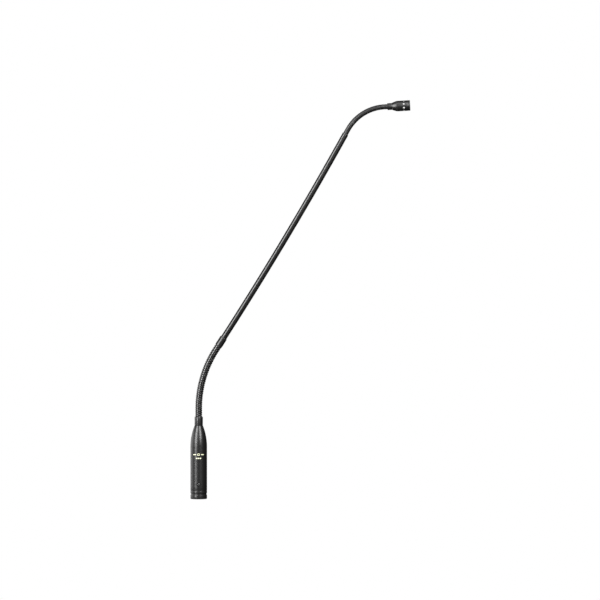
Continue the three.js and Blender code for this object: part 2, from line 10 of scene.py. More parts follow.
import bmesh
import bpy
import numpy as np
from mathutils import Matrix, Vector


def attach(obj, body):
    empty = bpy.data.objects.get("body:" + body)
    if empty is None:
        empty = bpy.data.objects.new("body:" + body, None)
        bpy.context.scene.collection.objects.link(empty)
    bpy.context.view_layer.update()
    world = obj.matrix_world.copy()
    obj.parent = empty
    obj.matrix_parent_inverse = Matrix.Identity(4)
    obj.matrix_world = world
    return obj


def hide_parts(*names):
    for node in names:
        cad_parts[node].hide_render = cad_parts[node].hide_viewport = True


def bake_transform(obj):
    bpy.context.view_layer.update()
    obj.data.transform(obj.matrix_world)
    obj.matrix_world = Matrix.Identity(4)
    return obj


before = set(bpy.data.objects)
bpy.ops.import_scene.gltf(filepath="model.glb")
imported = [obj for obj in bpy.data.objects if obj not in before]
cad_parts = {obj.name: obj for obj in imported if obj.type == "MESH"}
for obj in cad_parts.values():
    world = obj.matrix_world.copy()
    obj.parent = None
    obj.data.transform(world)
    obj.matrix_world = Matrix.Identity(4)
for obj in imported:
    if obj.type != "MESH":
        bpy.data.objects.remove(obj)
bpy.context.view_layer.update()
MM = 0.001
WALL_COLUMNS = 16

# ---------- driving dimensions, in millimetres and degrees ----------

FERRULE_TOP = 94.4
LOWER_NECK = 86.0
COUPLER = 11.2
STEM = 272.0
UPPER_NECK = 60.5
TIP = 5.6
HEAD = 20.4
STEM_START = LOWER_NECK + COUPLER
STEM_END = STEM_START + STEM
NECK_END = STEM_END + UPPER_NECK
HEAD_START = NECK_END + TIP
# the centreline's sections from the ferrule's top: length, and the lean at its end
SECTIONS = [
    (9.5, 0.0),
    (71.0, 32.75),
    (5.5 + COUPLER, 32.75),
    (STEM, 29.0),
    (5.5, 29.0),
    (51.5, 86.75),
    (3.5 + TIP + HEAD, 86.75),
]
SHELL_R = 9.5
SHELL_TOP = 84.0
OGIVE_START = 60.0
MOUTH_R = 8.2
CHAMBER_R = 7.9
SCREW_Z = 17.1
SCREW_HOLE_R = 2.3
INSERT_TOP = 21.5
PIN_CIRCLE = 3.95
PIN_ANGLES = (30, 150, 270)
HEAD_R = 6.0
PORT_R = 1.1
PORT_S = HEAD - 7.1
BOARD_BOTTOM = 26.2
BOARD_LENGTH = 30.0
RIM_ROUND = 0.8
KEYWAY_WIDTH = 3.4
KEYWAY_DEPTH = 0.6
KEYWAY_TOP = 12.0
SHELL_TOP_R = 4.9
SHELL_NECK_R = 3.3
SHELL_SIDES = 160
SHELL_SECTORS = 10
SCREW_SECTOR = 7
SCREW_HEAD_R = 1.6
SCREW_SINK = 0.7
HOLED_LOW = 14.5
HOLED_HIGH = 19.8
RIM = 1.4
INSERT_R = 7.75
INSERT_FACE = 15.5
PIN_R = 1.2
FERRULE_R = 4.75
COUPLER_R = 4.25
TUBE_R = 3.5
TUBE_BORE_R = 3.05
TIP_R = 3.9
HEAD_BORE_R = 5.4
CABLE_R = 1.1
# each neck's coil: outer radius, pitch, width of its wire and depth of the groove between turns
LOWER_COIL = (3.95, 2.3, 1.35, 0.65)
UPPER_COIL = (2.95, 1.3, 1.05, 0.2)
LOWER_JOINTS = 14
UPPER_JOINTS = 10
SHARP_EDGE = 30

# ---------- the stage, in metres, degrees and watts ----------

FLOOR_Z = -0.25
FLOOR_R = 1.2
ROOM_LIGHT = 0.02
MIDDLE = (0.117, 0.0, 0.228)
CAMERA_AT = (0.1162, -5.0, 0.3453)
CAMERA_AIM = (0.1162, 0.0, 0.2283)
CAMERA_LENS = 261.7
LIGHT_DISTANCE = 1.8
# name, azimuth, elevation, width, height, power
LIGHTS = [
    ("key", -43, 18, 0.68, 1.7, 60),
    ("front fill", 27, 27, 0.6, 1.3, 46),
    ("overhead", 10, 66, 2.2, 0.9, 15),
    ("left wall", -112, 0, 2.2, 0.8, 13),
]

# ---------- the centreline ----------


def centreline(s):
    """Points (n, 3) and leans in radians at distances s above the base ferrule's top."""
    s = np.asarray(s, float)
    x = np.zeros_like(s)
    z = FERRULE_TOP + np.minimum(s, 0)
    lean = np.zeros_like(s)
    start, x0, z0, lean0 = 0.0, 0.0, FERRULE_TOP, 0.0
    for i, (length, end_lean) in enumerate(SECTIONS):
        end = math.radians(end_lean)
        top = np.inf if i == len(SECTIONS) - 1 else length
        for at in (s, start + length):
            step = np.clip(at - start, 0, top)
            half = (end - lean0) * step / length / 2
            chord = step * np.sinc(half / np.pi)
            here = (x0 + chord * np.sin(lean0 + half), z0 + chord * np.cos(lean0 + half), lean0 + 2 * half)
            if at is s:
                inside = s > start
                x, z, lean = (np.where(inside, new, old) for new, old in zip(here, (x, z, lean)))
        x0, z0, lean0 = (float(v) for v in here)
        start += length
    return np.stack([x, np.zeros_like(x), z], -1), lean


def follow(points):
    """Straight points (across in the bend's plane, across along Y, distance) bent onto the centreline."""
    points = np.asarray(points, float)
    middle, lean = centreline(points[:, 2])
    across = np.stack([np.cos(lean), np.zeros_like(lean), -np.sin(lean)], -1)
    out = middle + points[:, :1] * across
    out[:, 1] += points[:, 1]
    return out


# ---------- mesh helpers ----------


def piece(name, shape, material, body, replaces=(), bent=False):
    """A mesh object in metres that rides on a body, from a shape in millimetres."""
    verts, faces, wear = shape
    points = np.asarray(verts, float)
    placed = follow(points) if bent else points
    mesh = bpy.data.meshes.new(name)
    mesh.from_pydata((placed * MM).tolist(), [], faces)
    straight = mesh.attributes.new("straight", "FLOAT_VECTOR", "POINT")
    straight.data.foreach_set("vector", points.astype(np.float32).ravel())
    mesh.attributes.new("wear", "FLOAT", "POINT").data.foreach_set("value", np.asarray(wear, np.float32))
    tidy = bmesh.new()
    tidy.from_mesh(mesh)
    bmesh.ops.remove_doubles(tidy, verts=tidy.verts, dist=1e-7)
    bmesh.ops.recalc_face_normals(tidy, faces=tidy.faces)
    tidy.to_mesh(mesh)
    tidy.free()
    mesh.shade_smooth()
    mesh.set_sharp_from_angle(angle=math.radians(SHARP_EDGE))
    obj = bpy.data.objects.new(name, mesh)
    bpy.context.scene.collection.objects.link(obj)
    mesh.materials.append(material)
    if body:
        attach(obj, body)
    if replaces:
        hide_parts(*replaces)
    return obj


def rounded(corners, closed=True):
    """A profile of [radius, z, fillet] corners as points and wear, with an arc in place of each fillet."""
    points, wear = [], []
    count = len(corners)
    for i, (r, z, *fillet) in enumerate(corners):
        here = np.array([r, z], float)
        size = fillet[0] if fillet else 0.0
        ends = not closed and i in (0, count - 1)
        if size <= 0 or ends:
            points.append(here)
            wear.append(0.0)
            continue
        before = np.array(corners[i - 1][:2], float) - here
        after = np.array(corners[(i + 1) % count][:2], float) - here
        u, v = before / np.linalg.norm(before), after / np.linalg.norm(after)
        half = math.acos(float(np.clip(u @ v, -1, 1))) / 2
        back = size / math.tan(half)
        centre = here + (u + v) / np.linalg.norm(u + v) * size / math.sin(half)
        a, b = here + u * back - centre, here + v * back - centre
        turn = math.atan2(a[0] * b[1] - a[1] * b[0], a @ b)
        steps = max(2, round(abs(math.degrees(turn)) / 18))
        for k in range(steps + 1):
            t = turn * k / steps
            spun = [a[0] * math.cos(t) - a[1] * math.sin(t), a[0] * math.sin(t) + a[1] * math.cos(t)]
            points.append(centre + spun)
            wear.append(math.sin(math.pi * k / steps))
    return points, wear


def turned(corners, sides, closed=None, step=None):
    """Vertices, faces and wear of a profile turned about z.

    A profile that starts on the axis also ends there. Any other one closes on itself, unless closed is False.
    """
    if closed is None:
        closed = corners[0][0] > 0
    points, wear = rounded(corners, closed)
    if step:
        dense, dense_wear = [], []
        last = len(points) if closed else len(points) - 1
        for i in range(last):
            a, b = points[i], points[(i + 1) % len(points)]
            parts = max(1, math.ceil(float(np.linalg.norm(b - a)) / step))
            for k in range(parts):
                dense.append(a + (b - a) * k / parts)
                dense_wear.append(wear[i] if k == 0 else 0.0)
        if not closed:
            dense.append(points[-1])
            dense_wear.append(wear[-1])
        points, wear = dense, dense_wear
    verts, faces, marks, rings = [], [], [], []
    for (r, z), mark in zip(points, wear):
        ring = 1 if r < 1e-6 else sides
        rings.append(range(len(verts), len(verts) + ring))
        for j in range(ring):
            a = 2 * math.pi * j / sides
            verts.append((r * math.cos(a), r * math.sin(a), z))
            marks.append(mark)
    pairs = list(zip(rings, rings[1:])) + ([(rings[-1], rings[0])] if closed else [])
    for low, high in pairs:
        for j in range(sides):
            near = [low[j % len(low)], low[(j + 1) % len(low)]]
            far = [high[(j + 1) % len(high)], high[j % len(high)]]
            face = list(dict.fromkeys(near + far))
            if len(face) > 2:
                faces.append(face)
    return verts, faces, marks


def ring_numbers(count, sides, start=0):
    """Vertex numbers of rings that were made one after another."""
    return [range(start + i * sides, start + (i + 1) * sides) for i in range(count)]


def bands(rings):
    """Faces between each closed ring of vertices and the next."""
    faces = []
    for low, high in zip(rings, rings[1:]):
        for j in range(len(low)):
            k = (j + 1) % len(low)
            faces.append([low[j], low[k], high[k], high[j]])
    return faces


def shifted(shape, x=0.0, y=0.0, z=0.0):
    verts, faces, wear = shape
    return [(a + x, b + y, c + z) for a, b, c in verts], faces, wear


def joined(*shapes):
    verts, faces, wear = [], [], []
    for more_verts, more_faces, more_wear in shapes:
        base = len(verts)
        verts += list(more_verts)
        faces += [[base + i for i in face] for face in more_faces]
        wear += list(more_wear)
    return verts, faces, wear


def block(size, centre, bevel):
    """A box with bevelled edges."""
    bm = bmesh.new()
    bmesh.ops.create_cube(bm, size=1)
    bmesh.ops.scale(bm, vec=size, verts=bm.verts)
    bmesh.ops.bevel(bm, geom=list(bm.edges), offset=bevel, segments=3, profile=0.5, affect="EDGES")
    verts = [tuple(v.co + Vector(centre)) for v in bm.verts]
    faces = [[v.index for v in f.verts] for f in bm.faces]
    bm.free()
    return verts, faces, [0.0] * len(verts)


def strand(points, radius, sides=8):
    """A closed round wire through points, for leads, woven wires and beads."""
    points = np.asarray(points, float)
    tangents = np.gradient(points, axis=0)
    tangents /= np.linalg.norm(tangents, axis=1)[:, None]
    side = np.cross(tangents, [0.0, 0.0, 1.0])
    weak = np.linalg.norm(side, axis=1) < 1e-3
    side[weak] = np.cross(tangents[weak], [0.0, 1.0, 0.0])
    side /= np.linalg.norm(side, axis=1)[:, None]
    up = np.cross(side, tangents)
    verts = []
    for p, a, b in zip(points, side, up):
        for j in range(sides):
            t = 2 * math.pi * j / sides
            verts.append(tuple(p + radius * (math.cos(t) * a + math.sin(t) * b)))
    rings = ring_numbers(len(points), sides)
    return verts, bands(rings) + [list(rings[0])[::-1], list(rings[-1])], [0.0] * len(verts)


def holed_wall(outer, inner, z0, z1, hole_z, hole_r, chamfer, sectors, holed, rows):
    """A round wall from z0 to z1, in equal sectors, with a round hole in the middle of each holed sector.

    Each holed sector is a grid from its four edges to the hole's rim, wrapped round the cylinder.
    """
    half = math.pi / sectors
    angles = np.linspace(-half, half, WALL_COLUMNS + 1)
    levels = np.linspace(z0, z1, rows + 1)
    verts, faces, wear = [], [], []

    def wrap(radius, angle, z):
        verts.append((radius * math.cos(angle), radius * math.sin(angle), z))
        wear.append(0.0)
        return len(verts) - 1

    def edge_points(radius):
        xs, zs = angles * radius, levels - hole_z
        walk = [(x, zs[0]) for x in xs[:-1]] + [(xs[-1], z) for z in zs[:-1]]
        walk += [(x, zs[-1]) for x in xs[:0:-1]] + [(xs[0], z) for z in zs[:0:-1]]
        return np.array(walk)

    directions = edge_points(outer)
    directions /= np.linalg.norm(directions, axis=1)[:, None]
    for sector in range(sectors):
        centre = 2 * half * (sector + 0.5)
        if sector not in holed:
            for radius in (outer, inner):
                grid = [[wrap(radius, centre + a, z) for a in angles] for z in levels]
                for low, high in zip(grid, grid[1:]):
                    for j in range(WALL_COLUMNS):
                        faces.append([low[j], low[j + 1], high[j + 1], high[j]])
            continue
        rims = []
        for radius, rim in ((outer, hole_r + chamfer), (inner, hole_r)):
            edge = edge_points(radius)
            rings = []
            for t in (0.0, 0.3, 0.6, 0.82, 1.0):
                mix = edge * (1 - t) + directions * rim * t
                rings.append([wrap(radius, centre + x / radius, hole_z + z) for x, z in mix])
            faces += bands(rings)
            rims.append(rings[-1])
        lip = outer - chamfer
        neck = [wrap(lip, centre + x * hole_r / lip, hole_z + z * hole_r) for x, z in directions]
        faces += bands([rims[0], neck, rims[1]])
    return verts, faces, wear


def prism(outline, z0, z1, bevel):
    """A flat outline in x and y, extruded from z0 to z1 with its edges bevelled."""
    bm = bmesh.new()
    low = [bm.verts.new((x, y, z0)) for x, y in outline]
    face = bm.faces.new(low)
    grown = bmesh.ops.extrude_face_region(bm, geom=[face])
    raised = [v for v in grown["geom"] if isinstance(v, bmesh.types.BMVert)]
    bmesh.ops.translate(bm, vec=(0, 0, z1 - z0), verts=raised)
    corners = [e for e in bm.edges if len(e.link_faces) == 2 and e.calc_face_angle() > math.radians(40)]
    bmesh.ops.bevel(bm, geom=corners, offset=bevel, segments=2, profile=0.5, affect="EDGES")
    verts = [tuple(v.co) for v in bm.verts]
    faces = [[v.index for v in f.verts] for f in bm.faces]
    bm.free()
    return verts, faces, [0.0] * len(verts)


def printed(radius, lower, upper, closed=False):
    """A thin film of ink on a cylinder's -Y side, between two lines of points across and up."""
    thickness, sunk = 0.03, 0.02
    lines = []
    for depth in (-sunk, thickness):
        for line in (lower, upper):
            r = radius + depth
            lines.append([(r * math.sin(u / radius), -r * math.cos(u / radius), v) for u, v in line])
    count = len(lower)
    verts = [p for line in lines for p in line]
    faces = []
    for a, b in ((0, 1), (1, 3), (3, 2), (2, 0)):
        for i in range(count if closed else count - 1):
            k = (i + 1) % count
            faces.append([a * count + i, a * count + k, b * count + k, b * count + i])
    if not closed:
        faces.append([0, count, 3 * count, 2 * count])
        faces.append([count - 1, 2 * count - 1, 4 * count - 1, 3 * count - 1])
    return verts, faces, [0.0] * len(verts)


def hex_nut(corner, bore, z0, z1):
    """A hexagonal nut, with the curved chamfers that turning leaves on its corners."""
    sides = 96
    flat = corner * math.cos(math.pi / 6)
    chamfer_r = flat * 0.99
    rings = [[], [], [], [], [], []]
    for j in range(sides):
        a = 2 * math.pi * j / sides
        hexagon = flat / math.cos((a + math.pi / 6) % (math.pi / 3) - math.pi / 6)
        drop = max(0.0, hexagon - chamfer_r) * 0.55
        radii = (bore, chamfer_r, hexagon, hexagon, chamfer_r, bore)
        levels = (z0, z0, z0 + drop, z1 - drop, z1, z1)
        for ring, r, z in zip(rings, radii, levels):
            ring.append((r * math.cos(a), r * math.sin(a), z))
    verts = [p for ring in rings for p in ring]
    loops = ring_numbers(len(rings), sides)
    return verts, bands(loops + loops[:1]), [0.0] * len(verts)


# ---------- materials ----------


class Shader:
    """A node material, with its patterns laid out in the piece's own straight coordinates, in millimetres."""

    def __init__(self, name, **sockets):
        self.material = bpy.data.materials.new(name)
        self.material.use_nodes = True
        self.tree = self.material.node_tree
        self.surface = self.tree.nodes["Principled BSDF"]
        self.at = self.node("ShaderNodeAttribute", attribute_name="straight").outputs["Vector"]
        for socket, value in sockets.items():
            self.surface.inputs[socket.replace("_", " ")].default_value = value

    def node(self, kind, **settings):
        made = self.tree.nodes.new(kind)
        for setting, value in settings.items():
            setattr(made, setting, value)
        return made

    def put(self, value, socket):
        if isinstance(value, bpy.types.NodeSocket):
            self.tree.links.new(value, socket)
        else:
            socket.default_value = value

    def stretched(self, x, y, z):
        mapping = self.node("ShaderNodeMapping")
        self.put(self.at, mapping.inputs["Vector"])
        mapping.inputs["Scale"].default_value = (x, y, z)
        return mapping.outputs["Vector"]

    def noise(self, scale, detail=2.0, roughness=0.5, at=None):
        made = self.node("ShaderNodeTexNoise")
        self.put(at or self.at, made.inputs["Vector"])
        made.inputs["Scale"].default_value = scale
        made.inputs["Detail"].default_value = detail
        made.inputs["Roughness"].default_value = roughness
        return made.outputs["Fac"]

    def cells(self, scale):
        made = self.node("ShaderNodeTexVoronoi")
        self.put(self.at, made.inputs["Vector"])
        made.inputs["Scale"].default_value = scale
        return made.outputs["Distance"]

    def waves(self, scale, direction="Z", distortion=0.0, at=None):
        made = self.node("ShaderNodeTexWave", bands_direction=direction)
        self.put(at or self.at, made.inputs["Vector"])
        made.inputs["Scale"].default_value = scale
        made.inputs["Distortion"].default_value = distortion
        return made.outputs["Fac"]

    def marks(self, name):
        return self.node("ShaderNodeAttribute", attribute_name=name).outputs["Fac"]

    def math(self, operation, a, b):
        made = self.node("ShaderNodeMath", operation=operation)
        self.put(a, made.inputs[0])
        self.put(b, made.inputs[1])
        return made.outputs["Value"]

    def spread(self, value, low, high, from_low=0.0, from_high=1.0):
        made = self.node("ShaderNodeMapRange")
        self.put(value, made.inputs["Value"])
        made.inputs["From Min"].default_value = from_low
        made.inputs["From Max"].default_value = from_high
        made.inputs["To Min"].default_value = low
        made.inputs["To Max"].default_value = high
        return made.outputs["Result"]

    def colours(self, value, a, b):
        made = self.node("ShaderNodeMix", data_type="RGBA")
        self.put(value, made.inputs["Factor"])
        for socket, colour in zip(("A", "B"), (a, b)):
            target = [i for i in made.inputs if i.name == socket and i.type == "RGBA"][0]
            self.put(colour if isinstance(colour, bpy.types.NodeSocket) else (*colour, 1.0), target)
        return [o for o in made.outputs if o.type == "RGBA"][0]

    def colour(self, value):
        self.put(value, self.surface.inputs["Base Color"])

    def roughness(self, value):
        self.put(value, self.surface.inputs["Roughness"])

    def metallic(self, value):
        self.put(value, self.surface.inputs["Metallic"])

    def bumps(self, *layers):
        """Layers of height, as pairs of a value from 0 to 1 and its depth in millimetres."""
        normal = None
        for height, depth in layers:
            made = self.node("ShaderNodeBump")
            made.inputs["Distance"].default_value = depth * MM
            self.put(height, made.inputs["Height"])
            if normal:
                self.put(normal, made.inputs["Normal"])
            normal = made.outputs["Normal"]
        self.put(normal, self.surface.inputs["Normal"])


def grey(value, warmth=0.0):
    return (value * (1 + warmth), value, value * (1 - warmth))


def satin_coat():
    """Satin black lacquer on turned metal: fine orange peel, faint turning marks, thin at the edges."""
    s = Shader("satin black coat", Specular_IOR_Level=0.5)
    cloud = s.noise(0.09, 3.0)
    worn = s.math("MULTIPLY", s.marks("wear"), s.spread(s.noise(1.6, 4.0), 0.0, 1.0, 0.42, 0.7))
    body = s.colours(cloud, grey(0.006), grey(0.009, 0.02))
    s.colour(s.colours(s.math("MULTIPLY", worn, 0.6), body, grey(0.055)))
    s.roughness(s.math("ADD", s.spread(s.noise(0.12, 3.0), 0.30, 0.36), s.math("MULTIPLY", worn, -0.05)))
    turning = s.waves(2.6, "Z", 1.2, s.stretched(0.02, 0.02, 1.0))
    s.bumps((s.noise(0.3, 1.0), 0.003), (s.noise(3.0, 1.0), 0.0002), (turning, 0.0001))
    return s.material


def drawn_tube():
    """Black lacquer on drawn tube, with faint lengthwise drawing lines."""
    s = Shader("black drawn tube", Specular_IOR_Level=0.5)
    lines = s.noise(3.0, 4.0, 0.6, s.stretched(1.0, 1.0, 0.015))
    worn = s.math("MULTIPLY", s.marks("wear"), s.spread(s.noise(2.0, 4.0), 0.0, 1.0, 0.42, 0.7))
    body = s.colours(s.noise(0.05, 3.0), grey(0.006), grey(0.009, 0.02))
    s.colour(s.colours(s.math("MULTIPLY", worn, 0.6), body, grey(0.05)))
    s.roughness(s.spread(s.math("ADD", lines, s.noise(0.1, 3.0)), 0.25, 0.31, 0.6, 1.4))
    s.bumps((s.noise(0.2, 1.0), 0.002), (lines, 0.0001), (s.noise(3.0, 1.0), 0.0002))
    return s.material


def coil_wire(name, specular, gloss_low, gloss_high):
    """Black-oxide spring wire: drawn along its length, rubbed here and there, dull in the grooves."""
    s = Shader(name, Specular_IOR_Level=specular)
    crest = s.marks("wear")
    patches = s.noise(0.25, 4.0)
    rubbed = s.math("MULTIPLY", crest, s.spread(patches, 0.0, 1.0, 0.58, 0.8))
    body = s.colours(patches, grey(0.004), grey(0.007, 0.03))
    s.colour(s.colours(rubbed, body, grey(0.12, 0.02)))
    gloss = s.spread(s.noise(0.8, 3.0), gloss_low, gloss_high)
    s.roughness(s.math("ADD", gloss, s.spread(crest, 0.3, 0.0)))
    s.metallic(s.spread(rubbed, 0.0, 0.6))
    s.bumps((s.noise(1.0, 2.0), 0.0010), (s.noise(4.0, 1.0), 0.0002))
    return s.material


def moulded(name, dark, light, gloss_low=0.42, gloss_high=0.6):
    """Spark-eroded moulded plastic."""
    s = Shader(name, Specular_IOR_Level=0.5)
    s.colour(s.colours(s.noise(0.6, 4.0), dark, light))
    s.roughness(s.spread(s.noise(2.0, 3.0), gloss_low, gloss_high))
    s.bumps((s.cells(7.0), 0.006), (s.noise(1.4, 2.0), 0.004))
    return s.material


def plated(name, dark, light, gloss_low=0.16, gloss_high=0.34):
    """Plated metal with light haze and fine scratches along the piece."""
    s = Shader(name, Metallic=1.0)
    haze = s.noise(0.5, 5.0)
    scratches = s.noise(6.0, 5.0, 0.65, s.stretched(1.0, 1.0, 0.06))
    s.colour(s.colours(haze, dark, light))
    s.roughness(s.spread(s.math("ADD", haze, scratches), gloss_low, gloss_high, 0.6, 1.4))
    s.bumps((scratches, 0.0015), (s.noise(3.0, 2.0), 0.001))
    return s.material


def screw_steel():
    """Blackened screw steel, turned in rings, with lighter patches on the head's outward face: partly
    burnished where a driver slips, partly a painted highlight.
    """
    s = Shader("blackened screw steel", Metallic=0.4)
    rings = s.waves(9.0, "Z", 2.0)
    # worn: lighter patches on the head's outward face, partly driver wear and partly a painted highlight
    worn = s.math("MULTIPLY", s.marks("wear"), s.spread(s.noise(4.0, 3.0), 0.0, 1.0, 0.4, 0.7))
    s.colour(s.colours(worn, grey(0.025), grey(0.12)))
    s.roughness(s.spread(s.noise(5.0, 4.0), 0.38, 0.52))
    s.bumps((rings, 0.001), (s.noise(8.0, 3.0), 0.002))
    return s.material


def circuit_board():
    """Green solder mask over copper tracks, with a woven glass surface."""
    s = Shader("green circuit board", Coat_Weight=0.5, Coat_Roughness=0.15)
    tracks = s.spread(s.waves(0.55, "X", 0.0, s.stretched(1.0, 1.0, 0.2)), 0.0, 1.0, 0.55, 0.62)
    weave = s.math("MULTIPLY", s.waves(3.2, "X"), s.waves(3.2, "Z"))
    ground = s.colours(s.noise(0.8, 3.0), (0.008, 0.05, 0.018), (0.014, 0.075, 0.026))
    s.colour(s.colours(tracks, ground, (0.03, 0.13, 0.04)))
    s.roughness(s.spread(weave, 0.3, 0.45))
    s.bumps((tracks, 0.02), (weave, 0.004))
    return s.material


def clear_sleeve():
    """Amber polyester film, wound and slightly creased."""
    s = Shader("amber film", IOR=1.55, Transmission_Weight=0.6)
    creases = s.noise(0.7, 5.0, 0.6, s.stretched(1.0, 1.0, 0.3))
    s.colour(s.colours(creases, (0.55, 0.33, 0.1), (0.75, 0.5, 0.2)))
    s.roughness(s.spread(creases, 0.12, 0.3))
    s.bumps((creases, 0.05), (s.noise(5.0, 2.0), 0.004))
    return s.material


def jacket():
    """Dark grey cable jacket, with the faint lay of its cores showing."""
    s = Shader("cable jacket", Specular_IOR_Level=0.4)
    lay = s.waves(0.35, "DIAGONAL", 0.3)
    s.colour(s.colours(s.noise(1.0, 4.0), grey(0.02), grey(0.032)))
    s.roughness(s.spread(s.noise(3.0, 3.0), 0.5, 0.7))
    s.bumps((lay, 0.02), (s.noise(7.0, 3.0), 0.003))
    return s.material


def felt_fibre():
    """Black acoustic felt: matted fibres with a soft sheen."""
    s = Shader("black felt", Sheen_Weight=0.4, Sheen_Roughness=0.5, Specular_IOR_Level=0.1)
    fibres = s.noise(9.0, 8.0, 0.7, s.stretched(1.0, 0.4, 1.0))
    across = s.noise(9.0, 8.0, 0.7, s.stretched(0.4, 1.0, 1.0))
    mat = s.math("MULTIPLY", fibres, across)
    s.colour(s.colours(s.spread(mat, 0.0, 1.0, 0.15, 0.4), grey(0.008), grey(0.035)))
    s.roughness(s.spread(mat, 1.0, 0.85))
    s.bumps((mat, 0.12), (s.cells(5.0), 0.05))
    return s.material


def soft_rubber():
    s = Shader("black rubber", Specular_IOR_Level=0.35)
    s.colour(s.colours(s.noise(1.5, 4.0), grey(0.012), grey(0.022)))
    s.roughness(s.spread(s.noise(3.0, 3.0), 0.65, 0.85))
    s.bumps((s.noise(4.0, 4.0), 0.01), (s.cells(9.0), 0.004))
    return s.material


def ink():
    """Pale ivory pad print, slightly uneven in cover."""
    s = Shader("ivory print", Specular_IOR_Level=0.3)
    cover = s.spread(s.noise(3.5, 4.0), 0.0, 1.0, 0.3, 0.45)
    s.colour(s.colours(cover, (0.45, 0.45, 0.3), (0.8, 0.82, 0.56)))
    s.roughness(s.spread(s.noise(5.0, 3.0), 0.45, 0.65))
    s.bumps((s.noise(8.0, 3.0), 0.004), (cover, 0.003))
    return s.material


def can_sleeve():
    """A capacitor's blue shrink sleeve with a pale stripe down one side."""
    s = Shader("capacitor sleeve", Coat_Weight=0.3, Coat_Roughness=0.2)
    stripe = s.spread(s.waves(0.18, "X"), 0.0, 1.0, 0.86, 0.9)
    body = s.colours(s.noise(1.2, 3.0), (0.01, 0.018, 0.045), (0.016, 0.028, 0.07))
    s.colour(s.colours(stripe, body, (0.42, 0.44, 0.46)))
    s.roughness(s.spread(s.noise(2.0, 3.0), 0.28, 0.42))
    s.bumps((s.noise(1.5, 3.0), 0.01), (s.noise(6.0, 2.0), 0.002))
    return s.material


coat = satin_coat()
tube_coat = drawn_tube()
coil = coil_wire("black spring wire", 0.75, 0.19, 0.25)
fine_coil = coil_wire("fine black spring wire", 0.5, 0.31, 0.38)
insert_plastic = moulded("black moulding", grey(0.012), grey(0.022))
silver = plated("silver plate", grey(0.62, 0.02), grey(0.78, 0.01))
nickel = plated("nickel plate", grey(0.42, 0.04), grey(0.58, 0.03), 0.22, 0.4)
aluminium = plated("brushed aluminium", grey(0.5), grey(0.64), 0.25, 0.42)
mesh_wire = plated("black mesh wire", grey(0.018), grey(0.035), 0.3, 0.45)
dark_screw = screw_steel()
board_green = circuit_board()
film = clear_sleeve()
can_blue = can_sleeve()
cable_grey = jacket()
felt_black = felt_fibre()
rubber_black = soft_rubber()
red_lead = moulded("red lead jacket", (0.3, 0.012, 0.01), (0.42, 0.02, 0.016), 0.35, 0.5)
white_lead = moulded("white lead jacket", (0.55, 0.53, 0.47), (0.72, 0.7, 0.64), 0.35, 0.5)
print_ivory = ink()

# ---------- base ----------


def groove(z, half_width, depth):
    side = 0.06
    return [
        [SHELL_R, z - half_width, 0.07], [SHELL_R - depth, z - half_width + side, 0.1],
        [SHELL_R - depth, z + half_width - side, 0.1], [SHELL_R, z + half_width, 0.07],
    ]


def ogive(steps):
    rise, inset = SHELL_TOP - OGIVE_START, SHELL_R - SHELL_TOP_R
    radius = (rise**2 + inset**2) / (2 * inset)
    sweep = math.asin(rise / radius)
    turns = [sweep * k / steps for k in range(1, steps + 1)]
    return [[SHELL_R - radius + radius * math.cos(t), OGIVE_START + radius * math.sin(t)] for t in turns]


def cut_keyway(shape):
    """The keyway at +Y of the mouth: its wall stands further out between two straight sides."""
    verts, faces, wear = shape
    half = KEYWAY_WIDTH / 2
    out = []
    for x, y, z in verts:
        r = math.hypot(x, y)
        if y > 0 and abs(x) < half * r / MOUTH_R + 0.17 and z < KEYWAY_TOP and r < SHELL_R - 0.2:
            inside = abs(x) < half + 0.01
            reach = max(r, MOUTH_R + KEYWAY_DEPTH)
            x = x if inside else math.copysign(half + 0.02, x)
            y = math.sqrt((reach if inside else r) ** 2 - x * x)
        out.append((x, y, z))
    return out, faces, wear


def base_shell():
    """A turned shell: keyed mouth below, hollow chamber, and a tapered neck above."""
    low = turned(
        [
            [CHAMBER_R, HOLED_LOW], [CHAMBER_R, 14.4], [MOUTH_R, 13.9], [MOUTH_R, KEYWAY_TOP + 0.03],
            [MOUTH_R, KEYWAY_TOP - 0.03], [MOUTH_R, 6.0], [MOUTH_R, 0.2], [MOUTH_R + 0.2, 0.0],
            [SHELL_R, 0.0, RIM_ROUND], *groove(5.7, 1.0, 0.5), *groove(9.7, 0.35, 0.2),
            [SHELL_R, HOLED_LOW],
        ],
        SHELL_SIDES,
        closed=False,
    )
    high = turned(
        [
            [SHELL_R, HOLED_HIGH], [SHELL_R, 40.0], [SHELL_R, OGIVE_START], *ogive(28),
            [SHELL_TOP_R - 0.15, SHELL_TOP], [SHELL_NECK_R + 0.15, SHELL_TOP],
            [SHELL_NECK_R, SHELL_TOP - 0.15], [SHELL_NECK_R, 78.0, 0.3], [4.4, 77.0, 0.3],
            [CHAMBER_R, 62.0, 0.5], [CHAMBER_R, 40.0], [CHAMBER_R, HOLED_HIGH],
        ],
        SHELL_SIDES,
        closed=False,
    )
    levels = (HOLED_LOW, HOLED_HIGH, SCREW_Z)
    wall = holed_wall(SHELL_R, CHAMBER_R, *levels, SCREW_HOLE_R, 0.1, SHELL_SECTORS, (SCREW_SECTOR,), 10)
    return joined(cut_keyway(low), wall, high)


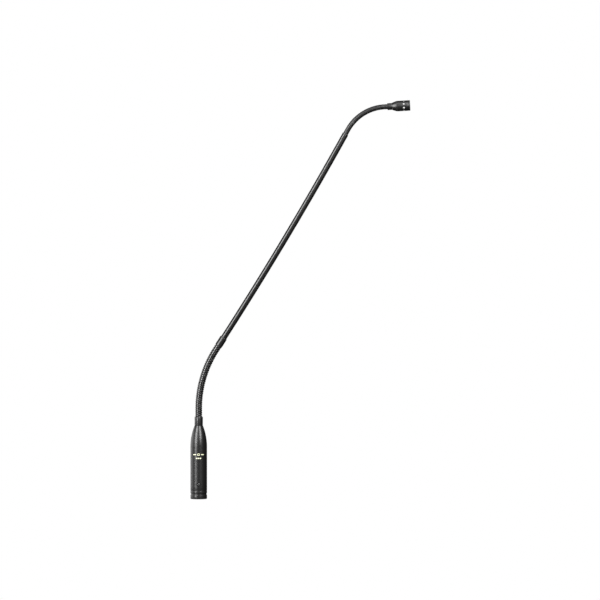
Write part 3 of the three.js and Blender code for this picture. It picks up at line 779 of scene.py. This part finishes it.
def insert_face():
    """The insert's moulded disc, with a raised ring, a boss round each pin and a moulding mark."""
    disc = turned(
        [
            [0, INSERT_FACE], [0.9, INSERT_FACE], [1.0, INSERT_FACE + 0.1], [1.3, INSERT_FACE + 0.1],
            [1.4, INSERT_FACE], [6.3, INSERT_FACE], [6.45, INSERT_FACE - 0.15], [7.0, INSERT_FACE - 0.15],
            [7.15, INSERT_FACE], [INSERT_R, INSERT_FACE, 0.15], [INSERT_R, 17.6, 0.1],
            [INSERT_R - 0.3, 17.9, 0.1], [INSERT_R - 0.3, 19.4, 0.1], [INSERT_R, 19.7, 0.1],
            [INSERT_R, INSERT_TOP, 0.2], [0, INSERT_TOP],
        ],
        96,
    )
    boss = [[1.15, 15.7], [1.15, 15.3], [1.35, 15.1], [1.85, 15.1, 0.1], [1.95, 15.7]]
    bosses = [shifted(turned(boss, 48), *pin_place(angle)) for angle in PIN_ANGLES]
    return joined(disc, *bosses)


def pin_place(angle):
    a = math.radians(angle)
    return PIN_CIRCLE * math.cos(a), PIN_CIRCLE * math.sin(a)


def contact_pin():
    """A pin with a round nose, a waist where it enters the insert, and a solder cup."""
    nose = [[PIN_R * math.sin(a), 2.7 - PIN_R * math.cos(a)] for a in np.linspace(0, math.pi / 2, 12)]
    top = INSERT_TOP + 4
    waist = PIN_R - 0.05
    profile = [*nose, [PIN_R, 14.6], [waist, 14.8], [waist, 15.0], [PIN_R, 15.2], [PIN_R, INSERT_TOP]]
    profile.append([PIN_R, top, 0.08])
    profile += [[0.7, top, 0.08], [0.7, top - 2.8, 0.2], [0, top - 3.2]]
    return turned(profile, 40)


def ground_contact():
    """A bent strip on the insert that presses on the wall, turned to stand beside pin 1."""
    foot = block((1.6, 5.2, 0.4), (6, 0, INSERT_TOP + 0.4), 0.08)
    blade = block((0.4, 3, 3.6), (6.8, 0, INSERT_TOP + 2.2), 0.08)
    dimple = turned([[0, -0.1], [0.5, -0.1], [0.5, 0.05, 0.05], [0, 0.25]], 24)
    verts, faces, wear = joined(foot, blade, shifted(dimple, 6, 0.0, INSERT_TOP + 0.62))
    a = math.radians(-20)
    spun = [(x * math.cos(a) - y * math.sin(a), x * math.sin(a) + y * math.cos(a), z) for x, y, z in verts]
    return spun, faces, wear


def slotted_screw():
    """A cheese-head screw facing -Y: two rounded halves of a head with a slot between them, and a thread."""
    half_slot, head, depth = 0.3, SCREW_HEAD_R, 0.5
    start = math.asin(half_slot / head)
    arc = [(head * math.cos(t), head * math.sin(t)) for t in np.linspace(start, math.pi - start, 25)]
    upper = prism(arc, -depth, 0.0, 0.16)
    lower = ([(-x, -y, z) for x, y, z in upper[0]], upper[1], upper[2])
    slot_floor = 0.02 - depth
    plate = [[0, -1.2], [head, -1.2, 0.05], [head, slot_floor, 0.02], [0, slot_floor]]
    thread = [[0, -3.4], [0.7, -3.4]]
    for k in range(5):
        thread += [[1.0, -3.2 + 0.4 * k], [0.75, -3.0 + 0.4 * k]]
    shank = turned([*thread, [0.75, -1.1], [0, -1.1]], 32)
    verts, faces, _ = joined(upper, lower, turned(plate, 64), shank)
    a = math.radians(-40)
    face_y = -(SHELL_R - SCREW_SINK)
    placed = []
    for x, y, z in verts:
        u, v = x * math.cos(a) - y * math.sin(a), x * math.sin(a) + y * math.cos(a)
        placed.append((u, face_y - z, SCREW_Z + v))
    # marks the outermost 0.17 mm of the head, which the material lightens in patches: partly driver wear,
    # partly a painted highlight
    marks = [1.0 if z > -0.17 else 0.0 for x, y, z in verts]
    return placed, faces, marks


def base_ferrule():
    """The threaded ferrule that the lower neck is fixed in."""
    thread = []
    for k in range(12):
        z = 71.2 + 0.4 * k
        thread += [[2.42, z], [2.6, z + 0.2]]
    return turned(
        [
            [1.9, 71.0], [2.4, 71.0], *thread, [2.6, 76.0], [3.15, 76.0, 0.1], [3.15, 84.15],
            [FERRULE_R, 84.15, 0.18], [FERRULE_R, FERRULE_TOP, 0.5], [4.1, FERRULE_TOP, 0.15],
            [4.1, 87.4], [1.9, 87.4, 0.2],
        ],
        96,
    )


def capacitor_can(x):
    """A small electrolytic can: crimped lower end, vented top and sleeve."""
    can = turned(
        [
            [0, 0.15], [1.2, 0.15], [1.7, 0.0], [2.0, 0.2, 0.1], [2.0, 0.8, 0.1], [1.82, 1.0, 0.1],
            [1.82, 1.25, 0.1], [2.0, 1.45, 0.1], [2.0, 7.0, 0.25], [1.5, 6.95], [1.4, 6.85], [0, 6.85],
        ],
        48,
    )
    return shifted(can, x, -2.75, BOARD_BOTTOM + 4)


def board():
    """The preamplifier's circuit board with pads and small parts."""
    middle = BOARD_BOTTOM + BOARD_LENGTH / 2
    shapes = [block((10.4, 1.2, BOARD_LENGTH), (0, 0, middle), 0.08)]
    for side, y in ((1, 0.6), (-1, -0.6)):
        for k in range(4):
            z = BOARD_BOTTOM + 13.5 + 3.6 * k
            x = 3.6 if (k + side) % 2 else -3.7
            shapes.append(block((1.6, 0.5, 0.8), (x, y + side * 0.24, z), 0.08))
    for x in (-3.9, 0.0, 3.9):
        pad = turned([[0.25, -0.65], [0.7, -0.65, 0.03], [0.7, 0.65, 0.03], [0.25, 0.65]], 24)
        verts = [(a + x, c, b + BOARD_BOTTOM + 1.3) for a, b, c in pad[0]]
        shapes.append((verts, pad[1], pad[2]))
    return joined(*shapes)


def transistor():
    """A moulded three-leg transistor on the board's back."""
    middle = BOARD_BOTTOM + BOARD_LENGTH / 2 + 4
    body = block((4.4, 3.4, 4.6), (0, 2.45, middle), 0.35)
    legs = [block((0.45, 0.3, 1.4), (x, 0.98, middle - 2.6), 0.05) for x in (-1.2, 0.0, 1.2)]
    return joined(body, *legs)


def shrink_sleeve():
    """The film sleeve round the board, a little out of round."""
    sides, levels = 72, 48
    verts = []
    for r0 in (7.6, 7.1):
        for k in range(levels + 1):
            z = 25.8 + 31.0 * k / levels
            for j in range(sides):
                a = 2 * math.pi * j / sides
                r = r0 - 0.05 + 0.03 * math.sin(3 * a + 0.2 * z) + 0.02 * math.sin(11 * a - 0.9 * z)
                verts.append((r * math.cos(a), r * math.sin(a), z))
    outer = ring_numbers(levels + 1, sides)
    inner = ring_numbers(levels + 1, sides, len(verts) // 2)
    faces = bands(outer) + bands(inner) + bands([outer[0], inner[0]]) + bands([outer[-1], inner[-1]])
    return verts, faces, [0.0] * len(verts)


def clamp():
    """The cable clamp: a grooved ring."""
    return turned(
        [
            [1.25, 63.0], [3.6, 63.0, 0.3], [3.6, 64.3, 0.1], [3.2, 64.5, 0.1], [3.2, 65.5, 0.1],
            [3.6, 65.7, 0.1], [3.6, 67.0, 0.3], [1.25, 67.0, 0.2],
        ],
        64,
    )


def cardioid(scale, samples=72):
    """A cardioid loop, dimple down, about its own middle."""
    loop = []
    for k in range(samples):
        t = 2 * math.pi * k / samples
        r = 1 + math.sin(t)
        loop.append((scale * r * math.cos(t), scale * (r * math.sin(t) - 0.85)))
    return loop


def pickup_mark():
    """A generic pickup-pattern sign: a cardioid between two bars, over three short dashes."""
    films = [printed(SHELL_R, offset(cardioid(0.72), 51.3), offset(cardioid(1.12), 51.3), closed=True)]
    for low, high in ((-6.3, -3.2), (3.2, 6.3)):
        films.append(bar(low, high, 50.75, 51.85))
    for left in (-3.0, -0.8, 1.4):
        films.append(bar(left, left + 1.6, 46.4, 47.7))
    return joined(*films)


def offset(loop, z):
    return [(u, v + z) for u, v in loop]


def bar(u0, u1, z0, z1):
    across = np.linspace(u0, u1, 12)
    return printed(SHELL_R, [(u, z0) for u in across], [(u, z1) for u in across])


def cable_run(low, high, fillet, step):
    """A straight length of the cable on the axis, with rings of points every step."""
    profile = [[0, low], [CABLE_R, low, fillet], [CABLE_R, high, fillet], [0, high]]
    return turned(profile, 24, step=step)


def build_base():
    piece("shell", base_shell(), coat, "base", ["base_shell"])
    piece("pickup_sign", pickup_mark(), print_ivory, "base")
    piece("insert", insert_face(), insert_plastic, "base", ["xlr_insert"])
    for i, angle in enumerate(PIN_ANGLES, 1):
        pin = shifted(contact_pin(), *pin_place(angle))
        piece(f"contact_pin_{i}", pin, silver, "base", [f"xlr_pin_{i}"])
    piece("ground_contact", ground_contact(), silver, "base", ["ground_spring"])
    piece("slotted_screw", slotted_screw(), dark_screw, "base", ["insert_screw"])
    piece("ferrule", base_ferrule(), coat, "base", ["base_ferrule"])
    piece("circuit_board", board(), board_green, "base", ["preamp_board"])
    for i, x in enumerate((-2.6, 2.6), 1):
        piece(f"capacitor_{i}", capacitor_can(x), can_blue, "base", [f"coupling_capacitor_{i}"])
    piece("transistor", transistor(), insert_plastic, "base", ["board_transistor"])
    piece("film_sleeve", shrink_sleeve(), film, "base", ["board_sleeve"])
    run = cable_run(57.2, 86.4, 0.15, 1.0)
    piece("cable_in_base", run, cable_grey, "base", ["base_cable"])
    piece("clamp", clamp(), insert_plastic, "base", ["cable_clamp"])
    piece("ferrule_nut", hex_nut(4.1, 2.9, 72.0, 75.0), nickel, "base", ["neck_nut"])


# ---------- necks ----------


def spring_profile(outer, pitch, wire, depth):
    """One turn of a flattened wire and the groove beside it, as (place, radius, crest) points."""
    points = []
    edge = 0.2 * depth
    for k in range(13):
        x = math.cos(math.pi * (1 - k / 12))
        drop = edge * (1 - (1 - x**4) ** 0.25)
        points.append((x * wire / 2, outer - drop, 1 - drop / edge))
    gap = pitch - wire
    for part, down in ((0.15, 0.5), (0.42, 1.0), (0.58, 1.0), (0.85, 0.5)):
        points.append((wire / 2 + gap * part, outer - depth * down, 0.0))
    return points


def spring_radius(profile, pitch, s, turn):
    """Radius and crest of the coil's surface at distance s and at a part of a turn."""
    places = np.array([p[0] for p in profile])
    at = (s - pitch * turn - places[0]) % pitch + places[0]
    places = np.append(places, places[0] + pitch)
    radii = [p[1] for p in profile] + [profile[0][1]]
    crests = [p[2] for p in profile] + [profile[0][2]]
    return float(np.interp(at, places, radii)), float(np.interp(at, places, crests))


def coil_piece(profile, pitch, bore, s0, s1, sides):
    """A closed stretch of coil from s0 to s1, straight, with rows of points along its helices."""
    count = len(profile)
    verts, wear, faces, known = [], [], [], {}

    def vertex(row, column):
        row += count * (column // sides)
        column %= sides
        turn = column / sides
        s = pitch * (row // count) + profile[row % count][0] + pitch * turn
        s = min(max(s, s0), s1)
        key = (column, round(s, 6))
        if key not in known:
            known[key] = len(verts)
            r, crest = spring_radius(profile, pitch, s, turn)
            a = 2 * math.pi * turn
            verts.append((r * math.cos(a), r * math.sin(a), s))
            wear.append(crest)
        return known[key]

    first = (math.floor(s0 / pitch) - 2) * count
    last = (math.ceil(s1 / pitch) + 1) * count
    for row in range(first, last):
        for column in range(sides):
            turn = ((row, column), (row, column + 1), (row + 1, column + 1), (row + 1, column))
            face = list(dict.fromkeys(vertex(*corner) for corner in turn))
            if len(face) > 2:
                faces.append(face)
    levels = max(2, round((s1 - s0) / 1.0))
    rings = []
    for k in range(levels + 1):
        s = s0 + (s1 - s0) * k / levels
        rings.append(range(len(verts), len(verts) + sides))
        for column in range(sides):
            a = 2 * math.pi * column / sides
            verts.append((bore * math.cos(a), bore * math.sin(a), s))
            wear.append(0.0)
    faces += bands(rings)
    for ring, s in ((rings[0], s0), (rings[-1], s1)):
        faces += bands([ring, [known[(column, round(s, 6))] for column in range(sides)]])
    return verts, faces, wear


def build_neck(name, material, start, length, joints, nodes, sunk, shape, bore, sides):
    """A flexible neck: one stretch of coil and one of cable across each joint, bent onto the centreline.

    Its first and last stretches run on by the two sunk lengths, into the pieces that hold them.
    """
    spacing = length / joints
    profile, pitch = spring_profile(*shape), shape[1]
    for i in range(joints):
        s0 = start + i * spacing
        s1 = s0 + spacing
        low = s0 - (sunk[0] if i == 0 else 0)
        high = s1 + (sunk[1] if i == joints - 1 else 0)
        ends = [Vector(centreline([s])[0][0] * MM) for s in (s0, s1)]
        stretch = coil_piece(profile, pitch, bore, low, high, sides)
        replaced = [nodes[i]] + ([nodes[i + 1]] if i == joints - 1 else [])
        flex = piece(f"{name}_flex_{i + 1:02d}", stretch, material, None, replaced, bent=True)
        cable, cable_node = cable_run(low, high, 0, 0.7), f"{name}_neck_cable"
        core = piece(f"{name}_core_{i + 1:02d}", cable, cable_grey, None, [cable_node], bent=True)
        for part in (flex, core):
            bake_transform(part)


def neck_names(prefix, count, first, last):
    return [first] + [f"{prefix}_{i:02d}" for i in range(1, count)] + [last]


def build_necks():
    build_neck(
        "lower",
        coil,
        0.0,
        LOWER_NECK,
        LOWER_JOINTS,
        neck_names("lower_neck_link", LOWER_JOINTS, "lower_neck_base_end", "lower_neck_stem_end"),
        sunk=(6.0, 6.0),
        shape=LOWER_COIL,
        bore=1.7,
        sides=56,
    )
    build_neck(
        "upper",
        fine_coil,
        STEM_END,
        UPPER_NECK,
        UPPER_JOINTS,
        neck_names("upper_neck_link", UPPER_JOINTS, "upper_neck_stem_end", "upper_neck_head_end"),
        sunk=(6.0, 4.0),
        shape=UPPER_COIL,
        bore=1.35,
        sides=48,
    )


# ---------- stem ----------


def build_stem():
    coupler = turned(
        [
            [4.05, 0], [COUPLER_R, 0, 0.08], [COUPLER_R, COUPLER, 0.5], [3.65, COUPLER, 0.12],
            [3.65, 7.7], [1.9, 7.7, 0.15], [1.9, 6.5, 0.15], [4.05, 6.5],
        ],
        96,
        step=1.0,
    )
    coupler = shifted(coupler, z=LOWER_NECK)
    piece("coupler", coupler, coat, "stem", ["lower_coupler"], bent=True)
    low, high = STEM_START - 3, STEM_END
    wall = [[TUBE_BORE_R, low, 0.1], [TUBE_R, low, 0.2], [TUBE_R, high, 0.22], [TUBE_BORE_R, high, 0.12]]
    piece("tube", turned(wall, 96, step=4.0), tube_coat, "stem", ["stem_tube"], bent=True)
    bush = turned(
        [
            [1.3, -14, 0.1], [2.5, -14, 0.3], [2.5, -11.5], [2.35, -11.3], [2.35, -10.2], [2.5, -10],
            [2.5, -7.3, 0.3], [1.3, -7.3, 0.1],
        ],
        64,
    )
    piece("bush", shifted(bush, z=STEM_END), nickel, "stem", ["upper_neck_bush"], bent=True)
    core = cable_run(LOWER_NECK + 6.4, STEM_END - 7, 0.15, 2.0)
    piece("cable_in_stem", core, cable_grey, "stem", ["stem_cable"], bent=True)


# ---------- head ----------


def housing():
    """The head's housing: a tapered shoulder, a straight barrel with eight ports, and a bored front."""
    front = HEAD - RIM - 0.15
    low_edge, high_edge = PORT_S - 1.9, PORT_S + 1.9
    low = turned(
        [
            [HEAD_BORE_R, low_edge], [HEAD_BORE_R, 8.0, 0.4], [4.0, 2.4, 0.2], [2.65, 2.4, 0.1],
            [2.65, 0.0, 0.1], [4.2, 0.0, 0.15], [HEAD_R, 5.0, 7.0], [HEAD_R, low_edge],
        ],
        128,
        closed=False,
    )
    mouth = [[HEAD_R, high_edge], [HEAD_R, front, 0.12], [HEAD_BORE_R, front, 0.1], [HEAD_BORE_R, high_edge]]
    ports = holed_wall(HEAD_R, HEAD_BORE_R, low_edge, high_edge, PORT_S, PORT_R, 0.14, 8, range(8), 10)
    return joined(low, ports, turned(mouth, 128, closed=False))


def tip():
    """The ferrule between the upper neck and the head."""
    thread = []
    for k in range(6):
        thread += [[2.5, 1.9 + 0.4 * k], [2.36, 2.1 + 0.4 * k]]
    return turned(
        [
            [3.05, -TIP], [TIP_R, -TIP, 0.2], [TIP_R, -0.15, 0.12], [2.5, -0.15], *thread,
            [2.5, 4.6, 0.15], [1.5, 4.6, 0.1], [1.5, -1.2, 0.1], [3.05, -1.2],
        ],
        96,
    )


def rim():
    back = HEAD - RIM
    return turned(
        [
            [4.6, back - 0.9], [5.25, back - 0.9, 0.1], [5.25, back], [HEAD_R, back, 0.1],
            [HEAD_R, HEAD, 0.35], [4.8, HEAD, 0.1], [4.6, HEAD - 0.2, 0.1],
        ],
        128,
    )


def woven_grille():
    """Plain-woven wire, its ends caught under a flat ring."""
    spacing, wire, reach = 0.46, 0.105, 4.3
    z = HEAD - 0.9
    wires = []
    count = int(reach / spacing)
    for i in range(-count, count + 1):
        fixed = i * spacing
        half = math.sqrt(reach**2 - fixed**2)
        run = np.arange(-half, half, spacing / 8)
        lift = wire * np.cos(math.pi * run / spacing + math.pi * i)
        along_x = np.stack([run, np.full_like(run, fixed), z + lift], -1)
        along_y = np.stack([np.full_like(run, fixed), run, z - lift], -1)
        wires += [strand(along_x, wire, 6), strand(along_y, wire, 6)]
    low, high = z - 0.2, z + 0.2
    ring = turned([[4.1, low, 0.05], [4.45, low, 0.05], [4.45, high, 0.05], [4.1, high, 0.05]], 96)
    return joined(ring, *wires)


def felt_disc():
    """A felt disc with an uneven, fibrous face and soft edges."""
    rng = random.Random(7)
    rings, sides = 18, 72
    z0, z1 = HEAD - 2.2, HEAD - 1.25
    verts, faces = [(0, 0, z1 - 0.05)], []
    radii = [4.4 * k / rings for k in range(1, rings + 1)]
    for r in radii:
        for j in range(sides):
            a = 2 * math.pi * j / sides
            edge = max(0.0, (r - 4.0) / 0.4)
            lift = 0.08 * rng.random() + 0.25 * edge**2
            verts.append((r * math.cos(a), r * math.sin(a), z1 - lift))
    for j in range(sides):
        faces.append([0, 1 + j, 1 + (j + 1) % sides])
    for level, r in ((z0 + 0.15, 4.4), (z0, 4.25)):
        for j in range(sides):
            a = 2 * math.pi * j / sides
            verts.append((r * math.cos(a), r * math.sin(a), level))
    loops = ring_numbers(rings + 2, sides, 1)
    faces += bands(loops) + [list(loops[-1])]
    return verts, faces, [0.0] * len(verts)


def build_head():
    rim_back = HEAD - RIM - 0.9
    front = rim_back - 0.15
    back = front - 2.5

    def add(name, shape, material, node):
        return piece(name, shifted(shape, z=HEAD_START), material, "head", [node], bent=True)

    add("housing", housing(), coat, "head_housing")
    add("tip", tip(), coat, "tip_ferrule")
    add("rim", rim(), coat, "front_rim")
    add("grille", woven_grille(), mesh_wire, "front_grille")
    add("felt", felt_disc(), felt_black, "windscreen_felt")
    add("tip_nut", hex_nut(3.8, 2.8, 2.6, 4.4), nickel, "housing_nut")
    can = turned(
        [
            [0, back + 0.25], [4.2, back + 0.25], [4.45, back, 0.1], [4.8, back + 0.05, 0.1],
            [4.8, front, 0.25], [1.2, front, 0.1], [1.2, front - 0.25], [0, front - 0.25],
        ],
        96,
    )
    add("capsule", can, aluminium, "electret_capsule")
    low, high = back + 0.1, front - 0.2
    band = [[4.9, low, 0.1], [5.3, low, 0.1], [5.3, high, 0.1], [4.9, high, 0.1]]
    add("gasket", turned(band, 96), rubber_black, "capsule_gasket")
    low, high = back - 0.55, back - 0.15
    disc = turned([[0, low], [4.4, low, 0.05], [4.4, high, 0.05], [0, high]], 64)
    solder = turned([[0, -0.1], [0.5, -0.05], [0.3, 0.05], [0, 0.1]], 20)
    pads = [shifted(solder, x, 0, back - 0.6) for x in (-1.6, 1.6)]
    add("capsule_disc", joined(disc, *pads), board_green, "capsule_board")
    leads = ((-0.7, red_lead, "lead_red"), (0.7, white_lead, "lead_white"))
    for i, (x, material, slot) in enumerate(leads, 1):
        rise = np.linspace(-1.2, back - 0.75, 40)
        sway = 0.12 * np.sin((rise + 1.2) / (back + 0.45) * 2 * math.pi)
        points = np.stack([x + 0 * rise, sway, rise], -1)
        add(f"lead_{i}", strand(points, 0.3, 12), material, f"capsule_lead_{i}")


build_base()
build_necks()
build_stem()
build_head()

# ---------- stage ----------


def camera():
    data = bpy.data.cameras.new("camera")
    data.sensor_width = 36.0
    data.lens = CAMERA_LENS
    data.clip_start = 0.1
    data.clip_end = 30.0
    eye = bpy.data.objects.new("camera", data)
    bpy.context.scene.collection.objects.link(eye)
    eye.location = CAMERA_AT
    aim = Vector(CAMERA_AIM) - eye.location
    eye.rotation_euler = aim.to_track_quat("-Z", "Y").to_euler()
    bpy.context.scene.camera = eye


def softbox(name, azimuth, elevation, width, height, power):
    """An area light aimed at the middle. Azimuth 0 is the camera's side, positive to its right."""
    a, e = math.radians(azimuth), math.radians(elevation)
    away = Vector((math.sin(a) * math.cos(e), -math.cos(a) * math.cos(e), math.sin(e)))
    data = bpy.data.lights.new(name, "AREA")
    data.shape = "RECTANGLE"
    data.size = width
    data.size_y = height
    data.energy = power
    lamp = bpy.data.objects.new(name, data)
    bpy.context.scene.collection.objects.link(lamp)
    lamp.location = Vector(MIDDLE) + away * LIGHT_DISTANCE
    lamp.rotation_euler = (-away).to_track_quat("-Z", "Y").to_euler()
    lamp.visible_camera = False


def surroundings():
    """White behind the microphone for the camera, and a dim grey room for everything else."""
    world = bpy.data.worlds.new("studio")
    world.use_nodes = True
    tree = world.node_tree
    tree.nodes.clear()
    kinds = ("OutputWorld", "LightPath", "MixShader", "Background", "Background")
    out, rays, mix, room, white = (tree.nodes.new("ShaderNode" + kind) for kind in kinds)
    room.inputs["Color"].default_value = (1, 1, 1, 1)
    room.inputs["Strength"].default_value = ROOM_LIGHT
    white.inputs["Color"].default_value = (1, 1, 1, 1)
    white.inputs["Strength"].default_value = 1.0
    tree.links.new(rays.outputs["Is Camera Ray"], mix.inputs["Fac"])
    tree.links.new(room.outputs["Background"], mix.inputs[1])
    tree.links.new(white.outputs["Background"], mix.inputs[2])
    tree.links.new(mix.outputs["Shader"], out.inputs["Surface"])
    world.cycles.sampling_method = "NONE"
    bpy.context.scene.world = world


def pale_floor():
    """A matt pale grey with a faint mottle, which fades out from the disc's middle to its edge."""
    s = Shader("pale floor", Roughness=0.8)
    coordinates = s.node("ShaderNodeTexCoord").outputs
    centre = s.node("ShaderNodeMapping")
    s.put(coordinates["Object"], centre.inputs["Vector"])
    centre.inputs["Location"].default_value = (-MIDDLE[0] / FLOOR_R, 0.0, -FLOOR_Z / FLOOR_R)
    centre.inputs["Scale"].default_value = (1 / FLOOR_R, 1 / FLOOR_R, 1 / FLOOR_R)
    gradient = s.node("ShaderNodeTexGradient", gradient_type="SPHERICAL")
    s.put(centre.outputs["Vector"], gradient.inputs["Vector"])
    s.put(s.spread(gradient.outputs["Fac"], 0.0, 1.0, 0.02, 0.6), s.surface.inputs["Alpha"])
    s.colour(s.spread(s.noise(40.0, at=coordinates["Generated"]), 0.86, 0.92))
    return s.material


def floor():
    """A pale round floor below the microphone, fading into the white surroundings at its edge."""
    verts = [(0.0, 0.0, 0.0)]
    faces = []
    sides = 96
    for j in range(sides):
        a = 2 * math.pi * j / sides
        verts.append((math.cos(a), math.sin(a), 0.0))
        faces.append([0, 1 + j, 1 + (j + 1) % sides])
    mesh = bpy.data.meshes.new("floor")
    mesh.from_pydata([(MIDDLE[0] + FLOOR_R * x, FLOOR_R * y, FLOOR_Z) for x, y, _ in verts], [], faces)
    mesh.materials.append(pale_floor())
    obj = bpy.data.objects.new("floor", mesh)
    bpy.context.scene.collection.objects.link(obj)
    obj.visible_glossy = False
    obj.visible_diffuse = False


camera()
surroundings()
floor()
for light in LIGHTS:
    softbox(*light)
bpy.context.scene.view_settings.view_transform = "Standard"
